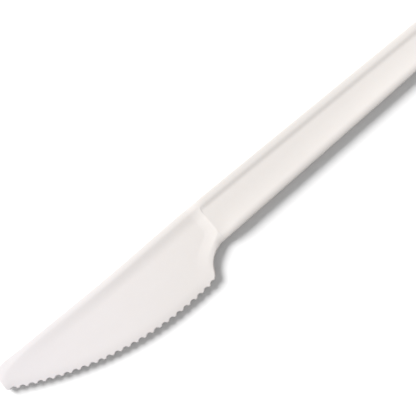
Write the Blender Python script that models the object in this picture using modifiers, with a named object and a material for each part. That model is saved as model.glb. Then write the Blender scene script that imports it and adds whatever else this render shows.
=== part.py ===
"""Disposable plastic knife, moulded in one piece.

The knife lies flat: +X runs from the tip of the blade to the end of the handle, +Y points to the
back (spine) side, the toothed edge faces -Y, and +Z is up. The origin is under the middle of its
box, on the surface it lies on. Both faces are alike about the mid-plane, where the mould parts.

The outline is drawn first, in millimetres, with x measured along it and y from the straight
back edge of the handle. The section changes all the way along: a thin blade with a raised spine
and a face that thins to the teeth, a ramp up to the thicker handle, and on each face of the handle
a panel that lies lowest along the back rim and climbs slowly to the front rim. The height of a
face is a function of the place on it, read on rows of points that follow the outline, the ramp and
the end of the panel. One half is modelled and mirrored about the parting plane, and the gullets
between the teeth are cut last, by a row of round cutters.
"""

import math

import bmesh
import bpy
import numpy as np
from mathutils import Matrix, Vector
from mathutils.geometry import delaunay_2d_cdt

MM = 0.001

# overall
LENGTH = 166.0  # tip to end of handle
DEPTH = 20.86  # back edge of the handle to the lowest tooth tips
THICK = 3.2  # over the rims of the handle, which are what the knife lies on
WEB = 1.36  # the blade between its spine and its teeth

# outline
TIP_X = -0.35  # the blunt tip's end
END_X = TIP_X + LENGTH  # the handle's end
SPINE_STEP = 0.756  # the blade's spine is this much lower than the handle's back edge
SPINE_RISE = (36.0, 72.0)  # where it climbs to meet it
TIP_CORNER = 3.8  # radius, spine side of the blunt tip
TIP_HEEL = 0.9  # radius, tooth side of the blunt tip
BELLY_START = (0.30, -7.68)
BELLY_SLOPE = -0.53
BELLY_PULL = (14.7, 19.4)  # lengths of the curve's two handles
BELLY_LOW_X = 49.8  # where the belly is lowest
BELLY_LIFT = 0.0040  # how quickly it rises again towards the heel, per mm
HEEL_R = 4.0
NECK_R = 8.0
NECK_CENTRE = (71.0, -21.35)
HANDLE_TAPER = 0.0371  # the front edge of the handle closes on the back edge at this slope
END_R = 4.0

# section: heights are over the parting plane
DRAFT = 0.05  # how far the side walls lean in from the parting line
ROUND = 0.35  # radius where a side wall meets a face
ROUND_EDGE = 0.15  # the same along the teeth and round the tip
SPINE_LIFT = 0.40  # the spine over the blade
NECK_TOP = 1.36  # where the blade's ramp meets the panel
NECK_RIM = 1.195  # the front rim there, before it climbs to the handle's
FLOOR = 1.245  # the handle's panel where it is lowest
CREST_BLADE = 1.50  # from the back edge to the top of the rim
CREST_BACK = 1.42
CREST_FRONT = 1.60
LAND = 0.10  # half the level width of each crest
CROWN_BLADE = 0.17  # how far a rim falls from its crest to the edge
CROWN_BACK = 0.14
CROWN_HOLLOW = 0.10
CROWN_FRONT = 0.48
END_CROWN = (154.0, 8.0)  # where the front crown shrinks to the back one, towards the handle's end
SPINE_BEVEL = (0.02, 0.70, 0.28)  # the spine's crown is nearly flat, and turns at its crest
TIP_CROWN = (3.4, 4.5, 0.20, 4.0)  # wider and deeper towards the tip
SPINE_GROW = (5.0, 42.0, 1.15)  # where the spine starts and where it is whole
SPINE_FALL = (0.45, 0.90, 2.25)  # its slope down to the blade: easing in, straight, easing out
WALL = (0.95, 0.15, 0.85)  # the same for the panel's wall under the back rim
FRONT_FALL = (0.40, 0.05, 4.80)  # from the front rim down to the panel
END_WALL = (0.1, 0.1, 0.1)  # the steep end of the panel, at the neck
STOP_WALL = (1.0, 0.2, 1.0)  # its other end
RAMP = (3.20, 0.40, 0.45)  # the blade's ramp: its length, its eased foot, its slope there
NECK_EASE = 2.0  # how the ramp turns from across the neck to round the hollow
NECK_SWELL = (70.6, 2.0, 0.8, 0.25)  # the front rim's crown is wider and deeper about the neck
NECK_DIP = (0.10, 3.0)  # and the face sinks a little towards it
NECK_FADE = (0.52, 80.0, -14.0, 34.0)  # how the ramp dies away round the hollow, in degrees
BACK_RISE = (67.2, 5.6)  # where the back rim climbs from the blade to the handle
FRONT_RISE = (69.5, 8.5)
TAPER = ((9.0, 0.09), (2.8, 0.30))  # how far from the teeth the blade starts to thin, and how much
PANEL_X = 70.93  # where the panel starts, just under the back rim
PANEL_LEAN = 0.0463  # its end leans away from the blade towards the front edge
PANEL_CORNER = 0.95  # how far the panel's corner under the back rim is rounded off
PANEL_STOP = 4.6  # from the end of the panel to the end of the handle

# teeth
TOOTH_PITCH = 2.476
GULLET_R = 0.995
GULLET_DEPTH = 0.58
FIRST_GULLET_X = 1.50
LAST_GULLET_X = 61.6
GULLET_SIDES = 18

# rows of points: how far inside the outline they run, on the blade and on the handle
BACK_ROWS = ((1.05, 0.88), (1.50, 1.42), (2.10, 2.00), (2.65, 2.47), (3.10, 2.90), (3.90, 3.47))
BACK_ROWS += ((5.35, 4.60),)
FRONT_ROWS = ((0.60, 1.00), (1.30, 1.60), (2.20, 2.30), (3.60, 3.50), (5.60, 5.00))
END_ROWS = (0.0, 0.1, 0.2, 0.3, -0.5, -1.1, -1.8, -2.5, -3.2)  # from the panel's end
STOP_ROWS = (0.0, -0.6, -1.1, -1.6, -2.2)  # from the panel's other end
TURN = 9.0  # an outline is read at least this often, in degrees and millimetres
REACH = 2.5
REACH_FINE = 1.2  # about the neck and at the end of the handle
GAP = 0.35  # rows keep this far from one another where they cross
GAP_MIDDLE = 1.6

COLOUR = (0.769, 0.731, 0.703, 1.0)


def smooth(u):
    u = np.clip(u, 0.0, 1.0)
    return u * u * (3.0 - 2.0 * u)


def fall(v, widths):
    """1 at v = 0 and 0 at the foot of a slope that eases in, runs straight and eases out."""
    a, b, c = widths
    m = 1.0 / (0.5 * a + b + 0.5 * c)
    v = np.clip(v, 0.0, a + b + c)
    p = np.minimum(v, a)
    q = np.clip(v - a, 0.0, b)
    r = np.clip(v - a - b, 0.0, c)
    return 1.0 - m * (p * p / (2.0 * a) + q + r - r * r / (2.0 * c))


def arc(cx, cy, r, a0, a1, n):
    return [
        (cx + r * math.cos(a), cy + r * math.sin(a))
        for a in np.radians(np.linspace(a0, a1, n))
    ]


# --- outline -----------------------------------------------------------------------------------


def back_outline():
    """Spine and back edge, from the blunt tip to the end of the handle."""
    y0 = -SPINE_STEP
    pts = arc(TIP_X + TIP_CORNER, y0 - TIP_CORNER, TIP_CORNER, 180, 90, 40)
    for x in np.linspace(TIP_X + TIP_CORNER, END_X - END_R, 500)[1:]:
        rise = (x - SPINE_RISE[0]) / (SPINE_RISE[1] - SPINE_RISE[0])
        pts.append((x, -SPINE_STEP * float(1.0 - smooth(rise))))
    pts += arc(END_X - END_R, -END_R, END_R, 90, 0, 40)[1:]
    return np.array(pts)


def front_outline():
    """Tooth line, heel, neck and front edge, from the blunt tip to the end of the handle."""
    way = Vector((1.0, BELLY_SLOPE)).normalized()
    p0 = Vector(BELLY_START)
    p1 = p0 + way * BELLY_PULL[0]
    p3 = Vector((BELLY_LOW_X, -DEPTH))
    p2 = p3 - Vector((BELLY_PULL[1], 0.0))

    # small round between the upright end of the tip and the belly
    turn = math.atan2(-way.y, way.x)
    reach = TIP_HEEL * math.tan((math.pi / 2 - turn) / 2)
    corner_y = p0.y + (TIP_X - p0.x) * BELLY_SLOPE
    pts = arc(TIP_X + TIP_HEEL, corner_y + reach, TIP_HEEL, 180, 270 - math.degrees(turn), 14)

    for u in np.linspace(0.0, 1.0, 260):
        p = p0 * (1 - u) ** 3 + p1 * 3 * u * (1 - u) ** 2 + p2 * 3 * u * u * (1 - u) + p3 * u**3
        if p.x > pts[-1][0] + 0.05:
            pts.append((p.x, p.y))

    # the belly rises gently to the heel, whose round touches both the belly and the neck's hollow
    nx, ny = NECK_CENTRE
    hx = 60.0
    for _ in range(30):
        hy = -DEPTH + BELLY_LIFT * (hx - BELLY_LOW_X) ** 2 + HEEL_R
        hx = nx - math.sqrt((NECK_R + HEEL_R) ** 2 - (hy - ny) ** 2)
    slope = 2 * BELLY_LIFT * (hx - BELLY_LOW_X)
    for x in np.linspace(BELLY_LOW_X, hx, 60)[1:-1]:
        pts.append((x, -DEPTH + BELLY_LIFT * (x - BELLY_LOW_X) ** 2))
    touch = math.degrees(math.atan2(ny - hy, nx - hx))
    pts += arc(hx, hy, HEEL_R, 270 + math.degrees(slope), 360 + touch, 30)
    lean = math.degrees(math.atan(HANDLE_TAPER))
    pts += arc(nx, ny, NECK_R, 180 + touch, 90 + lean, 50)[1:]

    # straight, tapering front edge, and the round end of the handle
    x0, y0 = pts[-1]
    xe = END_X - END_R
    ye = y0 + HANDLE_TAPER * (xe - x0)
    for x in np.linspace(x0, xe, 400)[1:]:
        pts.append((x, y0 + HANDLE_TAPER * (x - x0)))
    pts += arc(xe, ye + END_R, END_R, 270, 360, 40)[1:]
    return np.array(pts)


BACK = back_outline()
FRONT = front_outline()
END = [(BACK[-1] + FRONT[-1]) / 2]  # both lines run on to the middle of the handle's end
BACK, FRONT = np.concatenate([BACK, END]), np.concatenate([FRONT, END])


def distance(line, p):
    """Shortest distance from each point to a drawn line."""
    a, b = line[:-1], line[1:]
    d = b - a
    n = np.maximum((d * d).sum(1), 1e-18)
    out = np.empty(len(p))
    for i in range(0, len(p), 2000):
        px, py = p[i : i + 2000, :1] - a[:, 0], p[i : i + 2000, 1:] - a[:, 1]
        u = np.clip((px * d[:, 0] + py * d[:, 1]) / n, 0.0, 1.0)
        out[i : i + 2000] = np.sqrt(((px - u * d[:, 0]) ** 2 + (py - u * d[:, 1]) ** 2).min(1))
    return out


# --- section -----------------------------------------------------------------------------------


def eased_min(a, b, width):
    h = np.clip(0.5 + 0.5 * (b - a) / width, 0.0, 1.0)
    return b + (a - b) * h - width * h * (1.0 - h)


def panel_end(y, back):
    """Where the handle's panel starts at this height, with its upper corner rounded off."""
    corner = np.clip(1.0 - (back - CREST_BACK - 0.2) / 2.2, 0.0, 1.0)
    return PANEL_X + (-3.32 - y) * PANEL_LEAN + PANEL_CORNER * corner**2.2


def back_rim(x):
    """Height of the back rim's crest, from the blunt tip to the handle."""
    x0, x1, power = SPINE_GROW
    spine = SPINE_LIFT * (1.0 - (1.0 - np.clip((x - x0) / (x1 - x0), 0.0, 1.0)) ** power)
    climb = smooth((x - BACK_RISE[0]) / BACK_RISE[1])
    return WEB / 2 + spine + (THICK / 2 - WEB / 2 - SPINE_LIFT) * climb


def swell(x):
    """1 at the middle of the neck, where the front rim's crown is widest, and 0 away from it."""
    return np.exp(-(((x - NECK_SWELL[0]) / NECK_SWELL[1]) ** 2))


def ramp(v):
    """1 from v = 0 on and 0 at the ramp's foot. It grows steeper towards the top."""
    long, eased, start = RAMP
    u = np.linspace(0.0, long, 300)
    slope = np.minimum(u / eased, 1.0) * (start + (1.0 - start) * u / long)
    h = np.concatenate([[0.0], np.cumsum(slope[1:] + slope[:-1])])
    return np.interp(long - v, u, h / h[-1])


def blade_height(x, y, back, front, start):
    """The blade's face, with its spine and the ramp up to the handle."""
    dx, dy = NECK_CENTRE[0] - x, y - NECK_CENTRE[1]
    round_hollow = np.hypot(dx, dy) - NECK_R - CREST_FRONT - NECK_SWELL[2] * swell(x)
    rise = ramp(eased_min(start - x, round_hollow, NECK_EASE))
    turn = np.degrees(np.arctan2(np.maximum(dx, 0.0), dy))
    low, wide, near, far = NECK_FADE
    fade = low * (1.0 - smooth(turn / wide)) + (1.0 - low) * (1.0 - smooth((turn - near) / far))
    face = WEB / 2 + (NECK_TOP - WEB / 2) * fade * rise

    blade_side = 1.0 - smooth((x - 57.0) / 7.0)
    for reach, loss in TAPER:
        face = face - loss * blade_side * np.clip(1.0 - front / reach, 0.0, 1.0) ** 2
    return face + (back_rim(x) - face) * fall(back - CREST_BLADE - LAND, SPINE_FALL)


def panel_height(x, back, front):
    """The handle's face: a panel that lies low at the back and climbs slowly to the front rim."""
    rim = NECK_RIM + (THICK / 2 - NECK_RIM) * smooth((x - FRONT_RISE[0]) / FRONT_RISE[1])
    face = FLOOR + (rim - FLOOR) * fall(front - CREST_FRONT - LAND, FRONT_FALL)
    face = face + (back_rim(x) - face) * fall(back - CREST_BACK - LAND, WALL)
    return face + (THICK / 2 - face) * fall(END_X - PANEL_STOP - x, STOP_WALL)


def face_height(p, back, front):
    """Height of a face over the parting plane, before the edges are rounded."""
    x, y = p[:, 0], p[:, 1]
    start = panel_end(y, back)
    blade = blade_height(x, y, back, front, start)
    panel = panel_height(x, back, front)
    h = panel + (blade - panel) * fall(x - start, END_WALL)

    handle = smooth((x - 66.0) / 6.0)
    wide, reach, deep, depth_reach = TIP_CROWN
    width = CREST_BLADE + (CREST_BACK - CREST_BLADE) * handle + wide * np.exp(-x / reach) - LAND
    crown = CROWN_BLADE + (CROWN_BACK - CROWN_BLADE) * handle + deep * np.exp(-x / depth_reach)
    under = np.where(x < TIP_X + TIP_CORNER, -SPINE_STEP - y, back)  # straight from the spine
    u = np.clip(under / width, 0.0, 1.0)
    bevel = fall(u, SPINE_BEVEL)
    loss = crown * (bevel + ((1.0 - u) ** 2 - bevel) * handle)
    width = CREST_FRONT + NECK_SWELL[2] * swell(x) - LAND
    dip, reach = NECK_DIP
    h = h - dip * swell(x) * np.clip(1.0 - (front - width) / reach, 0.0, 1.0) ** 2
    crown = CROWN_HOLLOW + (CROWN_FRONT - CROWN_HOLLOW) * handle + NECK_SWELL[3] * swell(x)
    crown = crown + (CROWN_BACK - crown) * smooth((x - END_CROWN[0]) / END_CROWN[1])
    crown = crown * smooth((x - 62.5) / 3.5)
    return h - np.maximum(loss, crown * np.clip(1.0 - front / width, 0.0, 1.0) ** 2)


def edge_radius(p):
    """Radius of the outer edge: small along the teeth and the tip, larger round the rest."""
    spine = smooth((p[:, 1] + 4.5) / 2.0) * smooth((p[:, 0] - 2.0) / 8.0)
    w = np.maximum(smooth((p[:, 0] - 57.0) / 7.0), spine)
    return ROUND_EDGE + (ROUND - ROUND_EDGE) * w


# --- half of the body --------------------------------------------------------------------------


def coarse(line):
    """The same line with fewer points."""
    step = np.diff(line, axis=0)
    way = np.degrees(np.unwrap(np.arctan2(step[:, 1], step[:, 0])))
    size = np.hypot(*step.T)
    out, last, gone = [line[0]], way[0], 0.0
    for i in range(1, len(line) - 1):
        gone += size[i - 1]
        reach = REACH_FINE if 62.0 < line[i, 0] < 76.0 or line[i, 0] > 157.0 else REACH
        if abs(way[i] - last) > TURN or gone > reach:
            out.append(line[i])
            last, gone = way[i], 0.0
    if np.hypot(*(line[-1] - out[-1])) < 0.3:
        out.pop()
    return np.array(out + [line[-1]])


def normals(loop):
    """Directions that point into the knife."""
    d = np.roll(loop, -1, 0) - loop
    d /= np.linalg.norm(d, axis=1)[:, None]
    n = np.stack([-d[:, 1], d[:, 0]], 1)
    n = n + np.roll(n, 1, 0)
    return n / np.linalg.norm(n, axis=1)[:, None]


def rows(front, front_n, back, back_n):
    """Rows of points over the face, the most telling rows first."""
    out = []

    # across the end of the panel, and down the ramp from it
    for step in END_ROWS:
        y = np.arange(-13.0, -0.6, 0.5 if step >= 0.0 else 1.1)
        row = np.stack([np.zeros_like(y), y], 1)
        for _ in range(3):
            row[:, 0] = panel_end(row[:, 1], distance(BACK, row)) + step
        if step < 0.0:
            off = np.hypot(*(row - NECK_CENTRE).T) - NECK_R - CREST_FRONT
            row = row[off > -step]
        out.append(row)

    # across the other end of the panel, and over the level face beyond it
    for step in STOP_ROWS + (1.6, 3.0):
        y = np.arange(-9.1, -0.8, 0.9)
        out.append(np.stack([np.full_like(y, END_X - PANEL_STOP + step), y], 1))

    # beside the back and front edges
    for line, n, insets in ((back, back_n, BACK_ROWS), (front, front_n, FRONT_ROWS)):
        for on_blade, on_handle in insets:
            inset = on_blade + (on_handle - on_blade) * smooth((line[:, 0] - 64.0) / 7.0)
            row = line + n * inset[:, None]
            near = np.minimum(distance(BACK, row), distance(FRONT, row))
            out.append(row[near > inset * 0.97])

    # and the broad middle of the blade
    x, y = np.meshgrid(np.arange(4.0, 66.0, 3.4), np.arange(-17.5, -4.0, 3.2))
    out.append(np.stack([x.ravel(), y.ravel()], 1))
    return out


def inside(p, edge):
    """Between the two outlines, and this far from them."""
    low = np.interp(p[:, 0], FRONT[:, 0], FRONT[:, 1])
    high = np.interp(p[:, 0], BACK[:, 0], BACK[:, 1])
    ok = (p[:, 1] > low) & (p[:, 1] < high) & (p[:, 0] > TIP_X + edge) & (p[:, 0] < END_X - edge)
    return ok & (distance(FRONT, p) > edge) & (distance(BACK, p) > edge)


def half_body():
    """The upper half: rings that follow the outline round its edge, and the face inside them."""
    front, back = coarse(FRONT), coarse(BACK)
    tip = np.array([(back[0] + front[0]) / 2])
    loop = np.concatenate([front, back[:-1][::-1], tip])
    inward = normals(loop)
    n = len(loop)
    radius = edge_radius(loop)

    def heights(p):
        return face_height(p, distance(BACK, p), distance(FRONT, p))

    rings = [(loop, np.zeros(n))]
    for share in (0.0, 0.3, 1.0):
        p = loop + inward * (DRAFT + share * radius)[:, None]
        drop = radius * (1.0 - math.sqrt(1.0 - (1.0 - share) ** 2))
        rings.append((p, heights(p) - drop))

    # the face: the innermost ring, and the rows inside it
    ring = rings.pop()[0]
    split = len(front)
    points = list(ring)
    sets = rows(front, inward[:split], back[:-1], inward[split:-1][::-1])
    for i, row in enumerate(sets):
        gap = 0.09 if 0 < i < 4 else GAP if i < len(sets) - 1 else GAP_MIDDLE
        for p in row[inside(row, DRAFT + ROUND_EDGE + GAP)]:
            if np.hypot(*(np.array(points) - p).T).min() > gap:
                points.append(p)
    flat = [Vector(p) for p in points]
    out = delaunay_2d_cdt(flat, [], [list(range(n))], 0, 1e-6, True)
    flat = np.array([tuple(v) for v in out[0]])
    tris = [f for f, source in zip(out[2], out[5]) if source]

    bm = bmesh.new()

    def put(p, z):
        return [bm.verts.new((a * MM, b * MM, c * MM)) for (a, b), c in zip(p, z)]

    rings = [put(p, z) for p, z in rings]
    face = put(flat, heights(flat))
    rings.append(face[:n])
    for a, b in zip(rings[:-1], rings[1:]):
        for i in range(n):
            j = (i + 1) % n
            bm.faces.new((a[i], a[j], b[j], b[i]))
    for f in tris:
        bm.faces.new([face[i] for i in f])
    bmesh.ops.recalc_face_normals(bm, faces=bm.faces)
    if sum(f.normal.z * f.calc_area() for f in bm.faces) < 0:
        bmesh.ops.reverse_faces(bm, faces=bm.faces)
    return bm


# --- scene -------------------------------------------------------------------------------------


def collection(name):
    c = bpy.data.collections.new(name)
    bpy.context.scene.collection.children.link(c)
    return c


def material(name, colour, roughness):
    m = bpy.data.materials.new(name)
    m.use_nodes = True
    b = m.node_tree.nodes["Principled BSDF"]
    b.inputs["Base Color"].default_value = colour
    b.inputs["Roughness"].default_value = roughness
    b.inputs["Metallic"].default_value = 0.0
    m.diffuse_color = colour
    return m


def gullet_cutters():
    """A row of round cutters stepped along the belly at the tooth pitch, up to the heel."""
    run = FRONT[FRONT[:, 0] <= LAST_GULLET_X + 3.0]
    gone = np.concatenate([[0.0], np.cumsum(np.hypot(*np.diff(run, axis=0).T))])
    first = np.interp(FIRST_GULLET_X, run[:, 0], gone)
    last = np.interp(LAST_GULLET_X, run[:, 0], gone)
    bm = bmesh.new()
    for s in np.arange(first, last, TOOTH_PITCH):
        x, y = np.interp(s, gone, run[:, 0]), np.interp(s, gone, run[:, 1])
        dx = np.interp(s + 0.1, gone, run[:, 0]) - np.interp(s - 0.1, gone, run[:, 0])
        dy = np.interp(s + 0.1, gone, run[:, 1]) - np.interp(s - 0.1, gone, run[:, 1])
        out = Vector((dy, -dx)).normalized() * (GULLET_R - GULLET_DEPTH)
        spot = Matrix.Translation(Vector((x + out.x, y + out.y, 0.0)) * MM)
        turn = Matrix.Rotation(math.atan2(dy, dx), 4, "Z")
        bmesh.ops.create_cone(
            bm,
            cap_ends=True,
            segments=GULLET_SIDES,
            radius1=GULLET_R * MM,
            radius2=GULLET_R * MM,
            depth=(THICK + 2.0) * MM,
            matrix=spot @ turn,
        )
    return bm


def main():
    for o in list(bpy.data.objects):
        bpy.data.objects.remove(o, do_unlink=True)
    parts = collection("plastic_knife")
    cutters = collection("cutters")
    place = Vector((-(TIP_X + END_X) / 2 * MM, DEPTH / 2 * MM, THICK / 2 * MM))

    mesh = bpy.data.meshes.new("knife")
    bm = half_body()
    bm.to_mesh(mesh)
    bm.free()
    knife = bpy.data.objects.new("knife", mesh)
    knife.location = place
    knife.data.materials.append(material("moulded_plastic", COLOUR, 0.42))
    parts.objects.link(knife)

    mesh = bpy.data.meshes.new("gullets")
    bm = gullet_cutters()
    bm.to_mesh(mesh)
    bm.free()
    gullets = bpy.data.objects.new("gullets", mesh)
    gullets.location = place
    gullets.hide_render = True
    gullets.display_type = "WIRE"
    cutters.objects.link(gullets)

    mirror = knife.modifiers.new("other face", "MIRROR")
    mirror.use_axis = (False, False, True)
    mirror.use_mirror_merge = True
    mirror.merge_threshold = 0.00001
    cut = knife.modifiers.new("teeth", "BOOLEAN")
    cut.operation = "DIFFERENCE"
    cut.solver = "EXACT"
    cut.object = gullets

    knife.data.shade_smooth()
    knife.data.set_sharp_from_angle(angle=math.radians(30))


main()
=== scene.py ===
"""Looks of the moulded plastic knife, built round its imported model.

The CAD knife has its true size and form, in flat facets. Here the same form is meshed finely: the
gullets are true arcs with rounded corners, the edges are round, and the slopes are smooth. Lengths
in the drawing are in millimetres, with x measured along it and y from the back edge of the
handle, and z from the plane in which the mould parts.
"""

import math

import bpy
import numpy as np
from mathutils import Matrix, Vector
from mathutils.geometry import delaunay_2d_cdt


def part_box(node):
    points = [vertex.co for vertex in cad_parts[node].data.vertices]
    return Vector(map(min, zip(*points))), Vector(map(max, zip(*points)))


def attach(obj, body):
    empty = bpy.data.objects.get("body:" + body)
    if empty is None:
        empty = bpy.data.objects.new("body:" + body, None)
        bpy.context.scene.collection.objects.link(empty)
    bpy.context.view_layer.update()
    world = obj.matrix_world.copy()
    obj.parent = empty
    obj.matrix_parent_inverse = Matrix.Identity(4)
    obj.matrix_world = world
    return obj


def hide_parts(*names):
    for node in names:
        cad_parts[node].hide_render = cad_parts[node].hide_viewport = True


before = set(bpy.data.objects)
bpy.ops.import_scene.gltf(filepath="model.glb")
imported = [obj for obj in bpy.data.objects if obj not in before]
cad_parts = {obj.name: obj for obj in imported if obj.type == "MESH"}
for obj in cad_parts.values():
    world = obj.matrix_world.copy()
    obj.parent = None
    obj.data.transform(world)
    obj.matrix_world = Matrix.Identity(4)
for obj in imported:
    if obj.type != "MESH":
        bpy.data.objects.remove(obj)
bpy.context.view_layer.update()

MM = 0.001

# overall
LENGTH = 166.0
DEPTH = 20.86
THICK = 3.2  # over the rims of the handle
WEB = 1.36  # the blade between its spine and its teeth

# outline
TIP_X = -0.35
END_X = TIP_X + LENGTH
SPINE_STEP = 0.756
SPINE_RISE = (36.0, 72.0)
TIP_CORNER = 3.8
TIP_HEEL = 0.9
BELLY_START = (0.30, -7.68)
BELLY_SLOPE = -0.53
BELLY_PULL = (14.7, 19.4)
BELLY_LOW_X = 49.8
BELLY_LIFT = 0.0040
HEEL_R = 4.0
NECK_R = 8.0
NECK_CENTRE = (71.0, -21.35)
HANDLE_TAPER = 0.0371
END_R = 4.0

# section: heights are over the parting plane
DRAFT = 0.05
ROUND = 0.35
ROUND_EDGE = 0.15
SPINE_LIFT = 0.40  # the spine over the blade
NECK_TOP = 1.36  # where the blade's ramp meets the panel
NECK_RIM = 1.195  # the front rim there, before it climbs to the handle's
FLOOR = 1.245  # the handle's panel where it is lowest
CREST_BLADE = 1.50  # from the back edge to the top of the rim
CREST_BACK = 1.42
CREST_FRONT = 1.60
LAND = 0.10  # half the level width of each crest
CROWN_BLADE = 0.17  # how far a rim falls from its crest to the edge
CROWN_BACK = 0.14
CROWN_HOLLOW = 0.10
CROWN_FRONT = 0.48
END_CROWN = (154.0, 8.0)  # where the front crown shrinks to the back one, towards the handle's end
SPINE_BEVEL = (0.02, 0.70, 0.28)  # the spine's crown is nearly flat, and turns at its crest
TIP_CROWN = (3.4, 4.5, 0.20, 4.0)  # wider and deeper towards the tip
SPINE_GROW = (5.0, 42.0, 1.15)  # where the spine starts and where it is whole
SPINE_FALL = (0.45, 0.90, 2.25)
WALL = (0.95, 0.15, 0.85)
FRONT_FALL = (0.40, 0.05, 4.80)
END_WALL = (0.1, 0.1, 0.1)
STOP_WALL = (1.0, 0.2, 1.0)
RAMP = (3.20, 0.40, 0.45)  # the blade's ramp: its length, its eased foot, its slope there
NECK_EASE = 2.0  # how the ramp turns from across the neck to round the hollow
NECK_SWELL = (70.6, 2.0, 0.8, 0.25)  # the front rim's crown is wider and deeper about the neck
NECK_DIP = (0.10, 3.0)  # and the face sinks a little towards it
NECK_FADE = (0.52, 80.0, -14.0, 34.0)  # how the ramp dies away round the hollow, in degrees
BACK_RISE = (67.2, 5.6)  # where the back rim climbs from the blade to the handle
FRONT_RISE = (69.5, 8.5)
TAPER = ((9.0, 0.09), (2.8, 0.30))  # how far from the teeth the blade starts to thin, and by how much
PANEL_X = 70.93  # where the panel starts, just under the back rim
PANEL_LEAN = 0.0463  # its end leans away from the blade towards the front edge
PANEL_CORNER = 0.95  # how far the panel's corner under the back rim is rounded off
PANEL_STOP = 4.6

# teeth
TOOTH_PITCH = 2.476
GULLET_R = 0.995
GULLET_DEPTH = 0.58
GULLET_ROUND = 0.15  # the corners of the teeth
FIRST_GULLET_X = 1.50
LAST_GULLET_X = 61.6

# mesh
GRID = 0.30  # spacing of the points on the faces

# light: the share is the key's part of all the light that falls on something level
FLOOR_KEY = {"from": (-0.416, 0.909), "elevation": 32.4, "angle": 33.0, "share": 0.80}
KNIFE_KEY = {"from": (-0.67, 0.74), "elevation": 40.0, "angle": 60.0, "share": 0.68}
LEVEL = 1.14  # all the light that falls on something level, where 1 shows white as white
FLOOR_ALBEDO = 0.95

# plastic
PLASTIC = (0.769, 0.731, 0.703)  # on the handle
PLASTIC_TIP = (0.765, 0.730, 0.737)  # less warm at the tip
NECK_PAINTED_SHADE = (0.043, 7.0, 36.0)  # painted shade, darker about the neck: how much, and where, in millimetres
SSS = (0.15, 0.0006)  # weight, and length in metres
IOR = 1.45
GLOSS = (0.62, 0.72)  # roughness, patch by patch


# --- curves ------------------------------------------------------------------------------------


def smooth(u):
    u = np.clip(u, 0.0, 1.0)
    return u * u * (3.0 - 2.0 * u)


def fall(v, widths):
    """1 at v = 0 and 0 at the foot of a slope that eases in, runs straight and eases out."""
    a, b, c = widths
    m = 1.0 / (0.5 * a + b + 0.5 * c)
    v = np.clip(v, 0.0, a + b + c)
    p = np.minimum(v, a)
    q = np.clip(v - a, 0.0, b)
    r = np.clip(v - a - b, 0.0, c)
    return 1.0 - m * (p * p / (2.0 * a) + q + r - r * r / (2.0 * c))


def arc(cx, cy, r, a0, a1, n):
    return [
        (cx + r * math.cos(a), cy + r * math.sin(a))
        for a in np.radians(np.linspace(a0, a1, n))
    ]


def back_outline():
    """Spine and back edge, from the blunt tip to the end of the handle."""
    y0 = -SPINE_STEP
    pts = arc(TIP_X + TIP_CORNER, y0 - TIP_CORNER, TIP_CORNER, 180, 90, 60)
    for x in np.linspace(TIP_X + TIP_CORNER, END_X - END_R, 700)[1:]:
        rise = (x - SPINE_RISE[0]) / (SPINE_RISE[1] - SPINE_RISE[0])
        pts.append((x, -SPINE_STEP * float(1.0 - smooth(rise))))
    pts += arc(END_X - END_R, -END_R, END_R, 90, 0, 60)[1:]
    return np.array(pts)


def front_outline():
    """Tooth line, heel, neck and front edge, from the blunt tip to the end of the handle."""
    way = Vector((1.0, BELLY_SLOPE)).normalized()
    p0 = Vector(BELLY_START)
    p1 = p0 + way * BELLY_PULL[0]
    p3 = Vector((BELLY_LOW_X, -DEPTH))
    p2 = p3 - Vector((BELLY_PULL[1], 0.0))

    turn = math.atan2(-way.y, way.x)
    reach = TIP_HEEL * math.tan((math.pi / 2 - turn) / 2)
    corner_y = p0.y + (TIP_X - p0.x) * BELLY_SLOPE
    pts = arc(TIP_X + TIP_HEEL, corner_y + reach, TIP_HEEL, 180, 270 - math.degrees(turn), 20)

    for u in np.linspace(0.0, 1.0, 400):
        p = p0 * (1 - u) ** 3 + p1 * 3 * u * (1 - u) ** 2 + p2 * 3 * u * u * (1 - u) + p3 * u**3
        if p.x > pts[-1][0] + 0.05:
            pts.append((p.x, p.y))

    nx, ny = NECK_CENTRE
    hx = 60.0
    for _ in range(30):
        hy = -DEPTH + BELLY_LIFT * (hx - BELLY_LOW_X) ** 2 + HEEL_R
        hx = nx - math.sqrt((NECK_R + HEEL_R) ** 2 - (hy - ny) ** 2)
    slope = 2 * BELLY_LIFT * (hx - BELLY_LOW_X)
    for x in np.linspace(BELLY_LOW_X, hx, 90)[1:-1]:
        pts.append((x, -DEPTH + BELLY_LIFT * (x - BELLY_LOW_X) ** 2))
    touch = math.degrees(math.atan2(ny - hy, nx - hx))
    pts += arc(hx, hy, HEEL_R, 270 + math.degrees(slope), 360 + touch, 50)
    lean = math.degrees(math.atan(HANDLE_TAPER))
    pts += arc(nx, ny, NECK_R, 180 + touch, 90 + lean, 90)[1:]

    x0, y0 = pts[-1]
    xe = END_X - END_R
    ye = y0 + HANDLE_TAPER * (xe - x0)
    for x in np.linspace(x0, xe, 500)[1:]:
        pts.append((x, y0 + HANDLE_TAPER * (x - x0)))
    pts += arc(xe, ye + END_R, END_R, 270, 360, 60)[1:]
    return np.array(pts)


BACK = back_outline()
FRONT = front_outline()
END = [(BACK[-1] + FRONT[-1]) / 2]  # both lines run on to the middle of the handle's end
BACK, FRONT = np.concatenate([BACK, END]), np.concatenate([FRONT, END])


def distance(line, p):
    """Shortest distance from each point to a drawn line."""
    a, b = line[:-1], line[1:]
    d = b - a
    n = np.maximum((d * d).sum(1), 1e-18)
    out = np.empty(len(p))
    for i in range(0, len(p), 2000):
        px, py = p[i : i + 2000, :1] - a[:, 0], p[i : i + 2000, 1:] - a[:, 1]
        u = np.clip((px * d[:, 0] + py * d[:, 1]) / n, 0.0, 1.0)
        out[i : i + 2000] = np.sqrt(((px - u * d[:, 0]) ** 2 + (py - u * d[:, 1]) ** 2).min(1))
    return out


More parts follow.
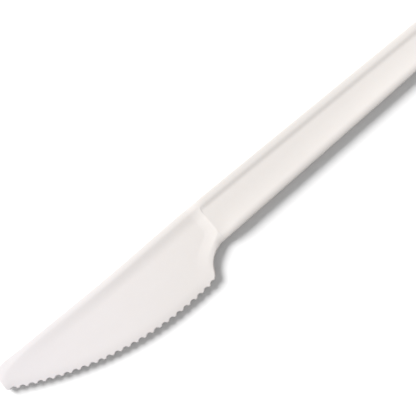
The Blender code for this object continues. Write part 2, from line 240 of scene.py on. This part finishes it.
def measured(line):
    return np.concatenate([[0.0], np.cumsum(np.hypot(*np.diff(line, axis=0).T))])


class Run:
    """A line that can be read at any length along it, and to either side of it."""

    def __init__(self, line):
        self.line, self.gone = line, measured(line)

    def at(self, s, inward=0.0):
        s, inward = np.broadcast_arrays(np.asarray(s, float), inward)
        x, y = (np.interp(s, self.gone, self.line[:, k]) for k in (0, 1))
        e = 0.04
        dx, dy = (
            np.interp(s + e, self.gone, self.line[:, k])
            - np.interp(s - e, self.gone, self.line[:, k])
            for k in (0, 1)
        )
        size = np.hypot(dx, dy)
        return np.stack([x - dy / size * inward, y + dx / size * inward], -1)

    def s(self, x):
        return float(np.interp(x, self.line[:, 0], self.gone))


FRONT_RUN = Run(FRONT)
BACK_RUN = Run(BACK)


def gullet_profile():
    """One gullet, as steps along the tooth line and depths into the blade."""
    c, big, small = GULLET_R - GULLET_DEPTH, GULLET_R, GULLET_ROUND
    reach = math.sqrt((big + small) ** 2 - (c + small) ** 2)
    swing = math.atan2(reach, c + small)
    left = [
        (-reach + small * math.sin(a), small - small * math.cos(a))
        for a in np.linspace(0.0, swing, 7)
    ]
    bite = [
        (big * math.sin(a), -c + big * math.cos(a)) for a in np.linspace(-swing, swing, 17)
    ][1:-1]
    right = [(-u, v) for u, v in left[::-1]]
    return np.array(left + bite + right)


GULLETS = np.arange(FRONT_RUN.s(FIRST_GULLET_X), FRONT_RUN.s(LAST_GULLET_X), TOOTH_PITCH)
GULLET_CENTRES = FRONT_RUN.at(GULLETS, -(GULLET_R - GULLET_DEPTH))


def toothed_front():
    """The front line with every gullet in it."""
    profile = gullet_profile()
    reach = profile[-1, 0]
    pts = [FRONT_RUN.at(np.linspace(0.0, GULLETS[0] - reach, 12)[:-1])]
    for k, s in enumerate(GULLETS):
        pts.append(FRONT_RUN.at(s + profile[:, 0], profile[:, 1]))
        if k + 1 < len(GULLETS):
            pts.append(FRONT_RUN.at(np.linspace(s + reach, GULLETS[k + 1] - reach, 5)[1:-1]))
    s0, s1 = GULLETS[-1] + reach, FRONT_RUN.s(NECK_CENTRE[0] + 1.0)
    pts.append(FRONT_RUN.at(np.linspace(s0, s1, int((s1 - s0) / 0.15))[1:]))
    s2, s3 = FRONT_RUN.s(END_X - END_R), FRONT_RUN.gone[-1]
    pts.append(FRONT_RUN.at(np.linspace(s1, s2, int((s2 - s1) / GRID))[1:]))
    pts.append(FRONT_RUN.at(np.linspace(s2, s3, int((s3 - s2) / 0.15))[1:]))
    return np.concatenate(pts)


def plain_back():
    s1, s2, s3 = BACK_RUN.s(TIP_X + TIP_CORNER), BACK_RUN.s(END_X - END_R), BACK_RUN.gone[-1]
    return np.concatenate([
        BACK_RUN.at(np.linspace(0.0, s1, int(s1 / 0.15))),
        BACK_RUN.at(np.linspace(s1, s2, int((s2 - s1) / GRID))[1:]),
        BACK_RUN.at(np.linspace(s2, s3, int((s3 - s2) / 0.15))[1:]),
    ])


def closed_outline():
    front, back = toothed_front(), plain_back()
    tip = np.linspace(back[0], front[0], int((back[0, 1] - front[0, 1]) / 0.18))[1:-1]
    return np.concatenate([front, back[:-1][::-1], tip])


OUTLINE = closed_outline()


# --- section -----------------------------------------------------------------------------------


def eased_min(a, b, width):
    h = np.clip(0.5 + 0.5 * (b - a) / width, 0.0, 1.0)
    return b + (a - b) * h - width * h * (1.0 - h)


def panel_end(y, back):
    """Where the handle's panel starts at this height, with its upper corner rounded off."""
    corner = np.clip(1.0 - (back - CREST_BACK - 0.2) / 2.2, 0.0, 1.0)
    return PANEL_X + (-3.32 - y) * PANEL_LEAN + PANEL_CORNER * corner**2.2


def back_rim(x):
    """Height of the back rim's crest, from the blunt tip to the handle."""
    x0, x1, power = SPINE_GROW
    spine = SPINE_LIFT * (1.0 - (1.0 - np.clip((x - x0) / (x1 - x0), 0.0, 1.0)) ** power)
    climb = smooth((x - BACK_RISE[0]) / BACK_RISE[1])
    return WEB / 2 + spine + (THICK / 2 - WEB / 2 - SPINE_LIFT) * climb


def swell(x):
    """1 at the middle of the neck, where the front rim's crown is widest, and 0 away from it."""
    return np.exp(-(((x - NECK_SWELL[0]) / NECK_SWELL[1]) ** 2))


def ramp(v):
    """1 from v = 0 on and 0 at the ramp's foot. It grows steeper towards the top."""
    long, eased, start = RAMP
    u = np.linspace(0.0, long, 300)
    slope = np.minimum(u / eased, 1.0) * (start + (1.0 - start) * u / long)
    h = np.concatenate([[0.0], np.cumsum(slope[1:] + slope[:-1])])
    return np.interp(long - v, u, h / h[-1])


def blade_height(x, y, back, front, start):
    """The blade's face, with its spine and the ramp up to the handle."""
    dx, dy = NECK_CENTRE[0] - x, y - NECK_CENTRE[1]
    round_hollow = np.hypot(dx, dy) - NECK_R - CREST_FRONT - NECK_SWELL[2] * swell(x)
    rise = ramp(eased_min(start - x, round_hollow, NECK_EASE))
    turn = np.degrees(np.arctan2(np.maximum(dx, 0.0), dy))
    low, wide, near, far = NECK_FADE
    fade = low * (1.0 - smooth(turn / wide)) + (1.0 - low) * (1.0 - smooth((turn - near) / far))
    face = WEB / 2 + (NECK_TOP - WEB / 2) * fade * rise

    blade_side = 1.0 - smooth((x - 57.0) / 7.0)
    for reach, loss in TAPER:
        face = face - loss * blade_side * np.clip(1.0 - front / reach, 0.0, 1.0) ** 2
    return face + (back_rim(x) - face) * fall(back - CREST_BLADE - LAND, SPINE_FALL)


def panel_height(x, back, front):
    """The handle's face: a panel that lies low at the back and climbs slowly to the front rim."""
    rim = NECK_RIM + (THICK / 2 - NECK_RIM) * smooth((x - FRONT_RISE[0]) / FRONT_RISE[1])
    face = FLOOR + (rim - FLOOR) * fall(front - CREST_FRONT - LAND, FRONT_FALL)
    face = face + (back_rim(x) - face) * fall(back - CREST_BACK - LAND, WALL)
    return face + (THICK / 2 - face) * fall(END_X - PANEL_STOP - x, STOP_WALL)


def face_height(p, back, front):
    """Height of a face over the parting plane, before the edges are rounded."""
    x, y = p[:, 0], p[:, 1]
    start = panel_end(y, back)
    blade = blade_height(x, y, back, front, start)
    panel = panel_height(x, back, front)
    h = panel + (blade - panel) * fall(x - start, END_WALL)

    handle = smooth((x - 66.0) / 6.0)
    wide, reach, deep, depth_reach = TIP_CROWN
    width = CREST_BLADE + (CREST_BACK - CREST_BLADE) * handle + wide * np.exp(-x / reach) - LAND
    crown = CROWN_BLADE + (CROWN_BACK - CROWN_BLADE) * handle + deep * np.exp(-x / depth_reach)
    under = np.where(x < TIP_X + TIP_CORNER, -SPINE_STEP - y, back)  # straight from the spine
    u = np.clip(under / width, 0.0, 1.0)
    bevel = fall(u, SPINE_BEVEL)
    loss = crown * (bevel + ((1.0 - u) ** 2 - bevel) * handle)
    width = CREST_FRONT + NECK_SWELL[2] * swell(x) - LAND
    dip, reach = NECK_DIP
    h = h - dip * swell(x) * np.clip(1.0 - (front - width) / reach, 0.0, 1.0) ** 2
    crown = CROWN_HOLLOW + (CROWN_FRONT - CROWN_HOLLOW) * handle + NECK_SWELL[3] * swell(x)
    crown = crown + (CROWN_BACK - crown) * smooth((x - END_CROWN[0]) / END_CROWN[1])
    crown = crown * smooth((x - 62.5) / 3.5)
    return h - np.maximum(loss, crown * np.clip(1.0 - front / width, 0.0, 1.0) ** 2)


def edge_radius(p):
    """Radius of the outer edge: small along the teeth and the tip, larger round the rest."""
    spine = smooth((p[:, 1] + 4.5) / 2.0) * smooth((p[:, 0] - 2.0) / 8.0)
    w = np.maximum(smooth((p[:, 0] - 57.0) / 7.0), spine)
    return ROUND_EDGE + (ROUND - ROUND_EDGE) * w


# --- mesh --------------------------------------------------------------------------------------


def outline_normals(loop):
    """Directions that point into the knife."""
    d = np.roll(loop, -1, 0) - loop
    d /= np.linalg.norm(d, axis=1)[:, None]
    n = np.stack([-d[:, 1], d[:, 0]], 1)
    n = n + np.roll(n, 1, 0)
    return n / np.linalg.norm(n, axis=1)[:, None]


def thinned(points, keep, gap):
    """Points that are at least a gap away from those kept before them."""
    cells = {}

    def key(q):
        return int(math.floor(q[0] / gap)), int(math.floor(q[1] / gap))

    def near(q):
        i, j = key(q)
        for a in (i - 1, i, i + 1):
            for b in (j - 1, j, j + 1):
                for r in cells.get((a, b), ()):
                    if (r[0] - q[0]) ** 2 + (r[1] - q[1]) ** 2 < gap * gap:
                        return True
        return False

    for q in keep:
        cells.setdefault(key(q), []).append(q)
    out = []
    for q in points:
        if not near(q):
            cells.setdefault(key(q), []).append(q)
            out.append(q)
    return np.array(out).reshape(-1, 2)


def inside(p):
    """Between the two outlines, and not in a gullet."""
    low = np.interp(p[:, 0], FRONT[:, 0], FRONT[:, 1])
    high = np.interp(p[:, 0], BACK[:, 0], BACK[:, 1])
    ok = (p[:, 1] > low) & (p[:, 1] < high) & (p[:, 0] > TIP_X + 0.05) & (p[:, 0] < END_X - 0.05)
    for c in GULLET_CENTRES:
        ok &= np.hypot(p[:, 0] - c[0], p[:, 1] - c[1]) > GULLET_R
    return ok


def half_mesh():
    """Points and triangles of the upper half. The first two rings are its wall."""
    loop = OUTLINE
    normal = outline_normals(loop)
    closed = np.concatenate([loop, loop[:1]])
    radius = edge_radius(loop)
    rim = loop + normal * DRAFT

    # rings over the rounded edge and just inside it, left out where a tooth is too narrow
    rings = []
    turns = [1 - math.cos(math.radians(a)) for a in (18, 36, 54, 72, 90)]
    for q in [DRAFT + radius * t for t in turns] + [DRAFT + radius + 0.1, DRAFT + radius + 0.24]:
        p = loop + normal * q[:, None]
        p = p[distance(closed, p) > q * 0.985]
        rings.append(p)
    extra = thinned(np.concatenate(rings), rim[::2], 0.03)

    # a triangular grid of points over the faces
    gx = np.arange(TIP_X + 0.2, END_X, GRID)
    gy = np.arange(-DEPTH, 0.0, GRID * math.sqrt(0.75))
    x, y = np.meshgrid(gx, gy)
    x = x + np.where(np.arange(len(gy)) % 2, GRID / 2, 0.0)[:, None]
    face = np.stack([x.ravel(), y.ravel()], 1)
    face = face[inside(face)]
    far = distance(closed, face)
    face = face[far > DRAFT + edge_radius(face) + 0.24 + GRID * 0.45]

    # closer rows of points down the steep end of the panel
    rows = []
    ys = np.arange(-12.0, -0.9, 0.2)
    for step in (-0.35, -0.2, -0.1, -0.05, 0.0, 0.05, 0.1, 0.15, 0.2, 0.25, 0.3, 0.35, 0.5, 0.65):
        row = np.stack([np.zeros_like(ys), ys], 1)
        for _ in range(3):
            row[:, 0] = panel_end(row[:, 1], distance(BACK, row)) + step
        rows.append(row)
    rows = np.concatenate(rows)
    rows = rows[inside(rows)]
    rows = rows[distance(closed, rows) > DRAFT + ROUND + 0.3]
    near_rows = np.abs(face[:, 0] - panel_end(face[:, 1], distance(BACK, face)) - 0.15) < 0.7
    face = face[~near_rows]

    flat = np.concatenate([rim, extra, rows, face])
    count = len(rim)
    out = delaunay_2d_cdt([Vector(p) for p in flat], [], [list(range(count))], 0, 1e-6, True)
    flat = np.array([tuple(v) for v in out[0]])
    tris = np.array([f for f, source in zip(out[2], out[5]) if source])

    deep = np.minimum(distance(closed, flat), 5.0)
    h = face_height(flat, distance(BACK, flat), distance(FRONT, flat))
    r = edge_radius(flat)
    share = np.clip((deep - DRAFT) / r, 0.0, 1.0)
    share[:count] = 0.0
    z = h - r * (1.0 - np.sqrt(np.maximum(1.0 - (1.0 - share) ** 2, 0.0)))
    return loop, rim, flat, z, tris


def knife_mesh():
    loop, rim, flat, z, tris = half_mesh()
    n, m = len(loop), len(flat)
    assert np.allclose(flat[:n], rim, atol=1e-5)

    # parting line, then the two walls, then the two faces
    verts = [np.column_stack([loop, np.zeros(n)])]
    wall = loop * 0.35 + rim * 0.65
    verts.append(np.column_stack([wall, z[:n] * 0.65]))
    verts.append(np.column_stack([flat, z]))
    verts.append(np.column_stack([wall, -z[:n] * 0.65]))
    verts.append(np.column_stack([flat, -z]))
    verts = np.concatenate(verts)
    starts = (0, n, 2 * n, 2 * n + m, 3 * n + m)

    i = np.arange(n)
    j = (i + 1) % n
    faces = []
    for a, b in ((starts[0], starts[1]), (starts[1], starts[2])):
        faces += [(a + p, a + q, b + q, b + p) for p, q in zip(i, j)]
    for a, b in ((starts[0], starts[3]), (starts[3], starts[4])):
        faces += [(a + q, a + p, b + p, b + q) for p, q in zip(i, j)]
    up = flat[tris]
    area = np.cross(up[:, 1] - up[:, 0], up[:, 2] - up[:, 0])
    tris = np.where((area > 0)[:, None], tris, tris[:, ::-1])
    faces += [tuple(t + starts[2]) for t in tris]
    faces += [tuple(t[::-1] + starts[4]) for t in tris]

    low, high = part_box("knife")
    verts[:, 0] += low.x / MM - TIP_X
    verts[:, 1] += high.y / MM
    verts[:, 2] += low.z / MM + THICK / 2
    mesh = bpy.data.meshes.new("moulded_knife")
    mesh.from_pydata((verts * MM).tolist(), [], [tuple(int(v) for v in f) for f in faces])
    mesh.update()
    mesh.shade_smooth()
    return mesh


# --- material ----------------------------------------------------------------------------------


def plastic():
    """Off-white moulded plastic, satin from the mould, with faint flow in its colour, and painted
    shade about the neck.
    """
    m = bpy.data.materials.new("moulded_plastic")
    m.use_nodes = True
    t = m.node_tree
    b = t.nodes["Principled BSDF"]
    b.inputs["Metallic"].default_value = 0.0
    b.inputs["IOR"].default_value = IOR
    b.inputs["Subsurface Weight"].default_value = SSS[0]
    b.inputs["Subsurface Radius"].default_value = (1.0, 0.9, 0.8)
    b.inputs["Subsurface Scale"].default_value = SSS[1]

    where = t.nodes.new("ShaderNodeTexCoord")

    def noise(scale, detail, stretch=(1.0, 1.0, 1.0), rough=0.5):
        turn = t.nodes.new("ShaderNodeMapping")
        turn.inputs["Scale"].default_value = stretch
        n = t.nodes.new("ShaderNodeTexNoise")
        n.inputs["Scale"].default_value = scale
        n.inputs["Detail"].default_value = detail
        n.inputs["Roughness"].default_value = rough
        t.links.new(where.outputs["Object"], turn.inputs["Vector"])
        t.links.new(turn.outputs["Vector"], n.inputs["Vector"])
        return n.outputs["Fac"]

    def sums(operation, first, second=0.0):
        n = t.nodes.new("ShaderNodeMath")
        n.operation = operation
        for k, v in enumerate((first, second)):
            if isinstance(v, float):
                n.inputs[k].default_value = v
            else:
                t.links.new(v, n.inputs[k])
        return n.outputs["Value"]

    def span(value, low, high, a, b_):
        r = t.nodes.new("ShaderNodeMapRange")
        r.inputs["From Min"].default_value = low
        r.inputs["From Max"].default_value = high
        r.inputs["To Min"].default_value = a
        r.inputs["To Max"].default_value = b_
        t.links.new(value, r.inputs["Value"])
        return r.outputs["Result"]

    # colour: slightly less warm towards the tip
    split = t.nodes.new("ShaderNodeSeparateXYZ")
    t.links.new(where.outputs["Object"], split.inputs["Vector"])
    mix = t.nodes.new("ShaderNodeMix")
    mix.data_type = "RGBA"
    mix.inputs["A"].default_value = (*PLASTIC_TIP, 1.0)
    mix.inputs["B"].default_value = (*PLASTIC, 1.0)
    t.links.new(span(split.outputs["X"], -75.0 * MM, -10.0 * MM, 0.0, 1.0), mix.inputs["Factor"])

    # painted shade: darker about the neck, in a soft hump along the knife; and the plastic's
    # flow along it shows as a faint unevenness
    depth, middle, wide = NECK_PAINTED_SHADE
    along = sums("MULTIPLY", sums("SUBTRACT", split.outputs["X"], middle * MM), 1.0 / (wide * MM))
    shade_hump = sums("EXPONENT", sums("MULTIPLY", sums("MULTIPLY", along, along), -1.0))
    flow = span(noise(130.0, 3.0, (0.3, 1.0, 1.0)), 0.3, 0.7, 0.99, 1.01)
    # the flow's faint unevenness, less the painted shade about the neck
    flow_and_painted_shade = sums("SUBTRACT", flow, sums("MULTIPLY", shade_hump, depth))
    tint = t.nodes.new("ShaderNodeVectorMath")
    tint.operation = "SCALE"
    t.links.new(mix.outputs["Result"], tint.inputs["Vector"])
    t.links.new(flow_and_painted_shade, tint.inputs["Scale"])
    t.links.new(tint.outputs["Vector"], b.inputs["Base Color"])

    # gloss: patchy at the scale of fingertips and fine as the mould's own finish
    patch = noise(220.0, 2.0, (0.6, 1.0, 1.0))
    t.links.new(span(patch, 0.3, 0.7, *GLOSS), b.inputs["Roughness"])

    # surface: fine spark texture of the mould over a very shallow unevenness
    fine = noise(9000.0, 2.0)
    bump = t.nodes.new("ShaderNodeBump")
    bump.inputs["Strength"].default_value = 0.25
    bump.inputs["Distance"].default_value = 0.00001
    t.links.new(fine, bump.inputs["Height"])
    slow = t.nodes.new("ShaderNodeBump")
    slow.inputs["Strength"].default_value = 0.30
    slow.inputs["Distance"].default_value = 0.00004
    t.links.new(noise(420.0, 2.0, (0.5, 1.0, 1.0)), slow.inputs["Height"])
    t.links.new(slow.outputs["Normal"], bump.inputs["Normal"])
    t.links.new(bump.outputs["Normal"], b.inputs["Normal"])
    return m


def add(name, data):
    o = bpy.data.objects.new(name, data)
    bpy.context.scene.collection.objects.link(o)
    return o


knife = add("moulded_knife", knife_mesh())
knife.data.materials.append(plastic())
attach(knife, "root")
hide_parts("knife")


# --- floor, light and camera -------------------------------------------------------------------


def floor():
    half = 6.0
    mesh = bpy.data.meshes.new("floor")
    z = -0.00002
    mesh.from_pydata(
        [(-half, -half, z), (half, -half, z), (half, half, z), (-half, half, z)], [], [(0, 1, 2, 3)]
    )
    m = bpy.data.materials.new("white_paper")
    m.use_nodes = True
    b = m.node_tree.nodes["Principled BSDF"]
    b.inputs["Base Color"].default_value = (FLOOR_ALBEDO, FLOOR_ALBEDO, FLOOR_ALBEDO, 1.0)
    b.inputs["Roughness"].default_value = 1.0
    b.inputs["Specular IOR Level"].default_value = 0.0
    mesh.materials.append(m)
    o = add("floor", mesh)
    return o


def key(name, what, receiver):
    """A soft light from one side, for one thing only."""
    up = math.radians(what["elevation"])
    sun = bpy.data.lights.new(name, "SUN")
    sun.energy = LEVEL * what["share"] * math.pi / math.sin(up)
    sun.angle = math.radians(what["angle"])
    o = add(name, sun)
    size = math.hypot(*what["from"])
    side = math.cos(up) / size
    way = Vector((what["from"][0] * side, what["from"][1] * side, math.sin(up)))
    o.rotation_euler = way.to_track_quat("Z", "Y").to_euler()
    lit = bpy.data.collections.new(name + "_lights")
    lit.objects.link(receiver)
    o.light_linking.receiver_collection = lit
    return o


def lights(floor):
    key("floor_key", FLOOR_KEY, floor)
    key("knife_key", KNIFE_KEY, knife)

    world = bpy.data.worlds.new("studio")
    bpy.context.scene.world = world
    world.use_nodes = True
    t = world.node_tree
    fill = t.nodes["Background"]
    fill.inputs["Color"].default_value = (1.0, 1.0, 1.0, 1.0)
    fill.inputs["Strength"].default_value = LEVEL * (1.0 - KNIFE_KEY["share"])
    seen = t.nodes.new("ShaderNodeBackground")
    seen.inputs["Color"].default_value = (1.0, 1.0, 1.0, 1.0)
    seen.inputs["Strength"].default_value = 1.02
    mix = t.nodes.new("ShaderNodeMixShader")
    ray = t.nodes.new("ShaderNodeLightPath")
    t.links.new(ray.outputs["Is Camera Ray"], mix.inputs["Fac"])
    t.links.new(fill.outputs[0], mix.inputs[1])
    t.links.new(seen.outputs[0], mix.inputs[2])
    t.links.new(mix.outputs[0], t.nodes["World Output"].inputs["Surface"])


def camera():
    """Straight down from above, turned so that the handle runs to the upper right."""
    cam = bpy.data.cameras.new("camera")
    cam.sensor_width = 36.0
    cam.lens = 200.0
    cam.clip_start = 0.05
    o = add("camera", cam)
    wide = 0.11232
    high = wide * cam.lens / cam.sensor_width
    o.location = (-0.00965, 0.00675, 0.0022 + high)
    o.rotation_euler = (0.0, 0.0, math.radians(-39.3))
    bpy.context.scene.camera = o


lights(floor())
camera()
bpy.context.scene.view_settings.view_transform = "Standard"
bpy.context.scene.view_settings.look = "None"
